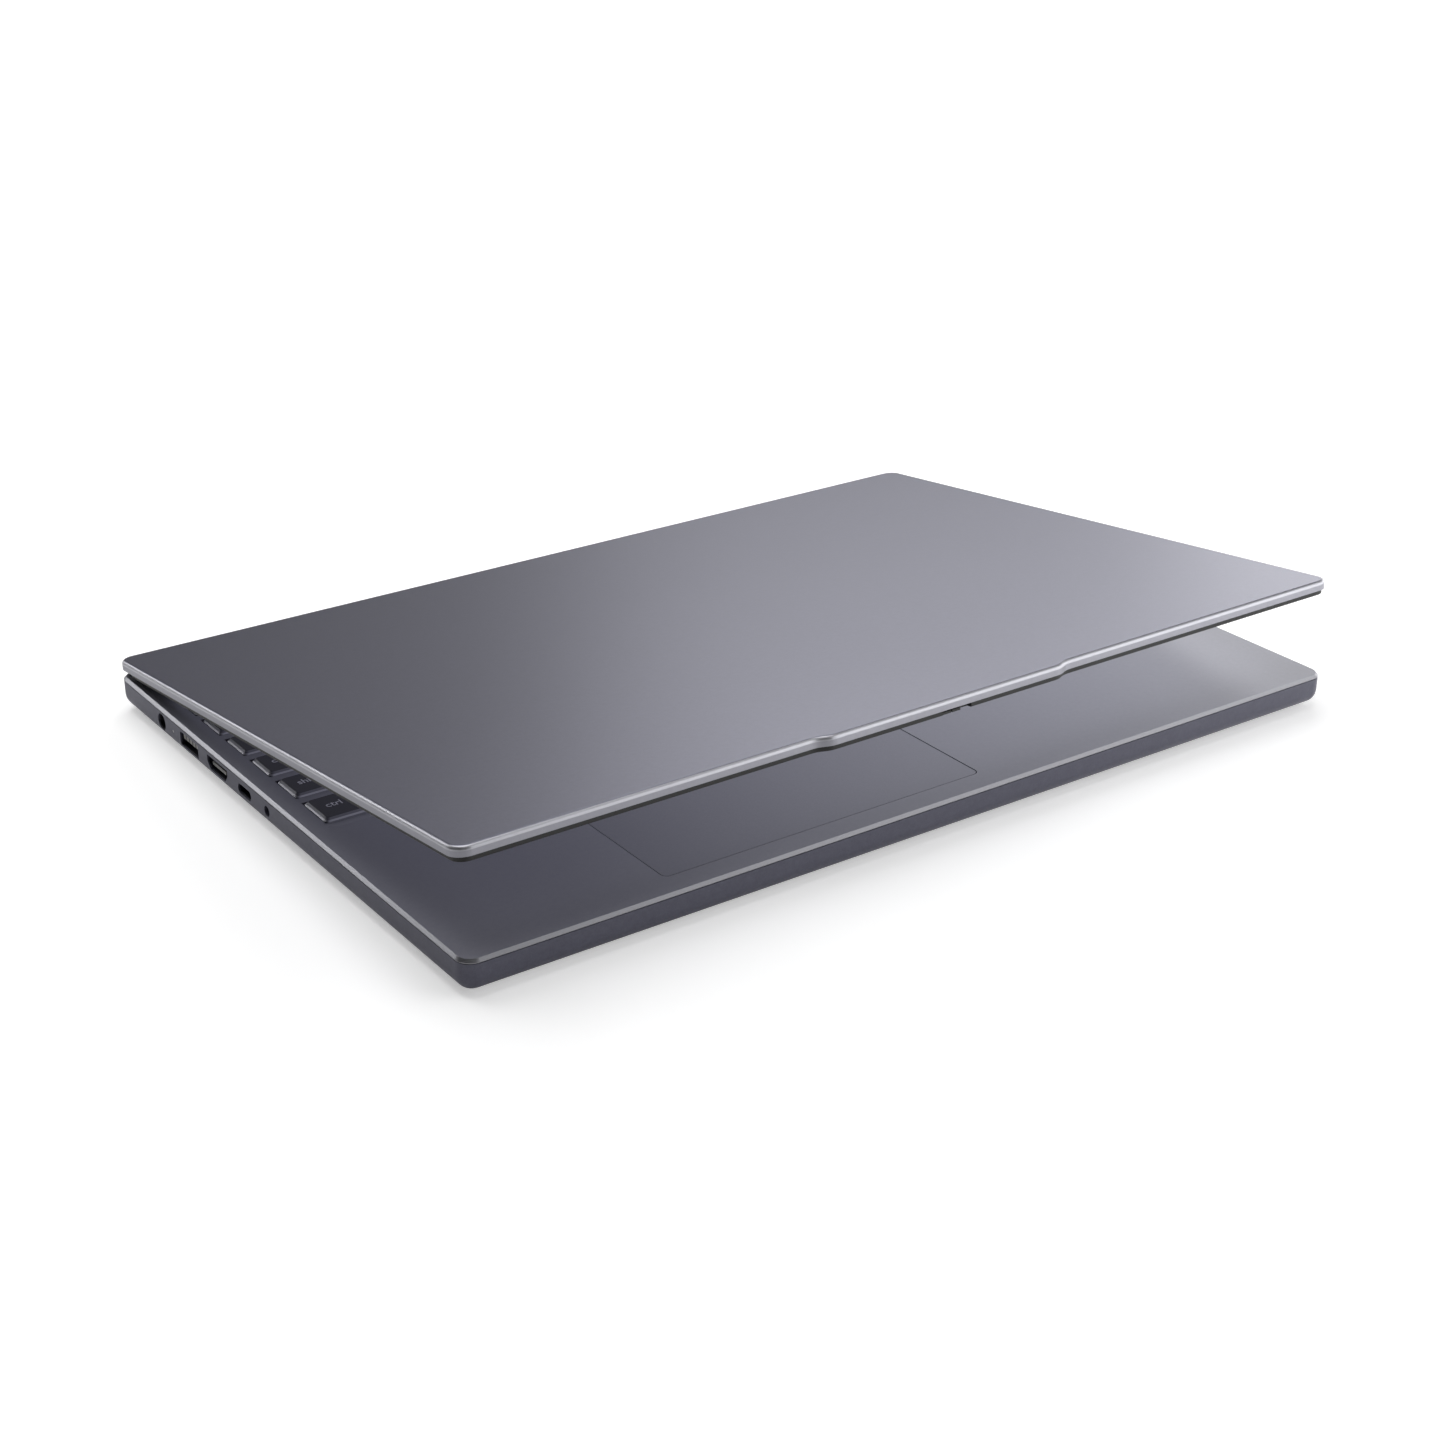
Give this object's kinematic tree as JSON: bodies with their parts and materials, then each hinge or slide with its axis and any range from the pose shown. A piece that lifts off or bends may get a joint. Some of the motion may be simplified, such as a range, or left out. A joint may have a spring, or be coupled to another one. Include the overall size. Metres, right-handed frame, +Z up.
{
  "type": "laptop computer",
  "caption": "Slim grey clamshell laptop computer with a numeric-pad keyboard, offset touchpad, side sockets, tabbed lid with camera shutter and lay-flat hinges, shown part open.",
  "frame": {"origin": "on the desk, under the middle of the base", "axes": "+X to the user's right, +Y away from the user towards the hinge, +Z up"},
  "size_m": [0.3434, 0.241, 0.0471],
  "materials": {
    "case_metal": "satin, fine bead-blasted grey",
    "case_plastic": "matt dark grey",
    "bezel_black": "matt near-black",
    "screen": "smooth black",
    "keycaps": "satin dark grey with lighter skirts",
    "frame_metal": "matt grey, like the case",
    "touch_glass": "satin grey",
    "steel": "plain steel",
    "port_black": "near-black",
    "rubber": "soft black",
    "board_green": "solder mask",
    "chip": "moulded black",
    "copper": "bare copper",
    "battery": "wrapped cells",
    "lamp": "clear light pipe"
  },
  "bodies": {
    "base": {"palm_rest": "case_metal", "bottom_cover": "case_metal", "keyboard_frame": "frame_metal", "keyboard_plate": "steel", "vent_grilles": "case_plastic", "rubber_feet": "rubber", "case_screws": "steel", "inner_screws": "steel", "hinge_bracket_left": "steel", "hinge_bracket_right": "steel", "motherboard": "board_green", "processor": "chip", "heat_pipe": "copper", "heat_sink_fins": "copper", "fan_housing": "chip", "memory_module": "board_green", "solid_state_drive": "board_green", "wifi_card": "board_green", "battery_pack": "battery", "speakers": "chip", "power_jack": "port_black", "usb_a_port_left": "port_black", "usb_a_port_right": "port_black", "hdmi_port": "port_black", "usb_c_port": "port_black", "audio_jack": "port_black", "status_light": "lamp", "card_reader": "port_black", "io_board": "board_green", "io_cable": "chip", "touchpad_bracket": "steel"},
    "lid": {"lid_cover": "case_metal", "screen_bezel": "bezel_black", "hinge_cap": "bezel_black", "display_panel": "screen", "camera_module": "chip", "wifi_antennas": "copper", "screen_bumpers": "rubber", "hinge_arm_left": "steel", "hinge_arm_right": "steel", "hinge_pins": "steel", "hinge_lid_screws": "steel"},
    "shutter": {"camera_shutter": "bezel_black"},
    "touchpad": {"touchpad": "touch_glass", "touchpad_board": "board_green"},
    "power_button": {"power_button": "keycaps"},
    "fan": {"fan_rotor": "chip"},
    "tab_key": {"tab_key": "keycaps"},
    "caps_lock_key": {"caps_lock_key": "keycaps"},
    "left_shift_key": {"left_shift_key": "keycaps"},
    "left_ctrl_key": {"left_ctrl_key": "keycaps"},
    "space_bar": {"space_bar": "keycaps"},
    "enter_key": {"enter_key": "keycaps"},
    "function_keys": {"function_keys": "keycaps"},
    "number_keys": {"number_keys": "keycaps"},
    "letter_keys": {"letter_keys": "keycaps"},
    "modifier_keys": {"modifier_keys": "keycaps"},
    "numpad_keys": {"numpad_keys": "keycaps"}
  },
  "joints": [
    {"name": "lid_hinge", "type": "hinge", "parent": "base", "child": "lid", "pos_m": [0, 0.1192, 0.0152], "axis": [-1, 0, 0], "range_deg": [-7, 173]},
    {"name": "shutter_slide", "type": "slide", "parent": "lid", "child": "shutter", "axis": [1, 0, 0], "range_m": [0, 0.0038]},
    {"name": "touchpad_click", "type": "hinge", "parent": "base", "child": "touchpad", "pos_m": [-0.03855, -0.03555, 0.0122], "axis": [1, 0, 0], "range_deg": [0, 0.36], "stiffness_Nm_per_rad": 6, "springref_deg": -1.72},
    {"name": "power_button_press", "type": "slide", "parent": "base", "child": "power_button", "axis": [0, 0, -1], "range_m": [0, 0.0005], "stiffness_N_per_m": 900, "springref_m": -0.0008},
    {"name": "fan_spin", "type": "hinge", "parent": "base", "child": "fan", "pos_m": [0.09, 0.069, 0.005], "axis": [0, 0, 1], "continuous": true},
    {"name": "tab_key_press", "type": "slide", "parent": "base", "child": "tab_key", "axis": [0, 0, -1], "range_m": [0, 0.0011], "stiffness_N_per_m": 200, "springref_m": -0.002},
    {"name": "caps_lock_key_press", "type": "slide", "parent": "base", "child": "caps_lock_key", "axis": [0, 0, -1], "range_m": [0, 0.0011], "stiffness_N_per_m": 200, "springref_m": -0.002},
    {"name": "left_shift_key_press", "type": "slide", "parent": "base", "child": "left_shift_key", "axis": [0, 0, -1], "range_m": [0, 0.0011], "stiffness_N_per_m": 200, "springref_m": -0.002},
    {"name": "left_ctrl_key_press", "type": "slide", "parent": "base", "child": "left_ctrl_key", "axis": [0, 0, -1], "range_m": [0, 0.0011], "stiffness_N_per_m": 200, "springref_m": -0.002},
    {"name": "space_bar_press", "type": "slide", "parent": "base", "child": "space_bar", "axis": [0, 0, -1], "range_m": [0, 0.0011], "stiffness_N_per_m": 200, "springref_m": -0.002},
    {"name": "enter_key_press", "type": "slide", "parent": "base", "child": "enter_key", "axis": [0, 0, -1], "range_m": [0, 0.0011], "stiffness_N_per_m": 200, "springref_m": -0.002},
    {"name": "function_keys_press", "type": "slide", "parent": "base", "child": "function_keys", "axis": [0, 0, -1], "range_m": [0, 0.0011], "stiffness_N_per_m": 4000, "springref_m": -0.002},
    {"name": "number_keys_press", "type": "slide", "parent": "base", "child": "number_keys", "axis": [0, 0, -1], "range_m": [0, 0.0011], "stiffness_N_per_m": 2800, "springref_m": -0.002},
    {"name": "letter_keys_press", "type": "slide", "parent": "base", "child": "letter_keys", "axis": [0, 0, -1], "range_m": [0, 0.0011], "stiffness_N_per_m": 6800, "springref_m": -0.002},
    {"name": "modifier_keys_press", "type": "slide", "parent": "base", "child": "modifier_keys", "axis": [0, 0, -1], "range_m": [0, 0.0011], "stiffness_N_per_m": 2000, "springref_m": -0.002},
    {"name": "numpad_keys_press", "type": "slide", "parent": "base", "child": "numpad_keys", "axis": [0, 0, -1], "range_m": [0, 0.0011], "stiffness_N_per_m": 3400, "springref_m": -0.002}
  ]
}
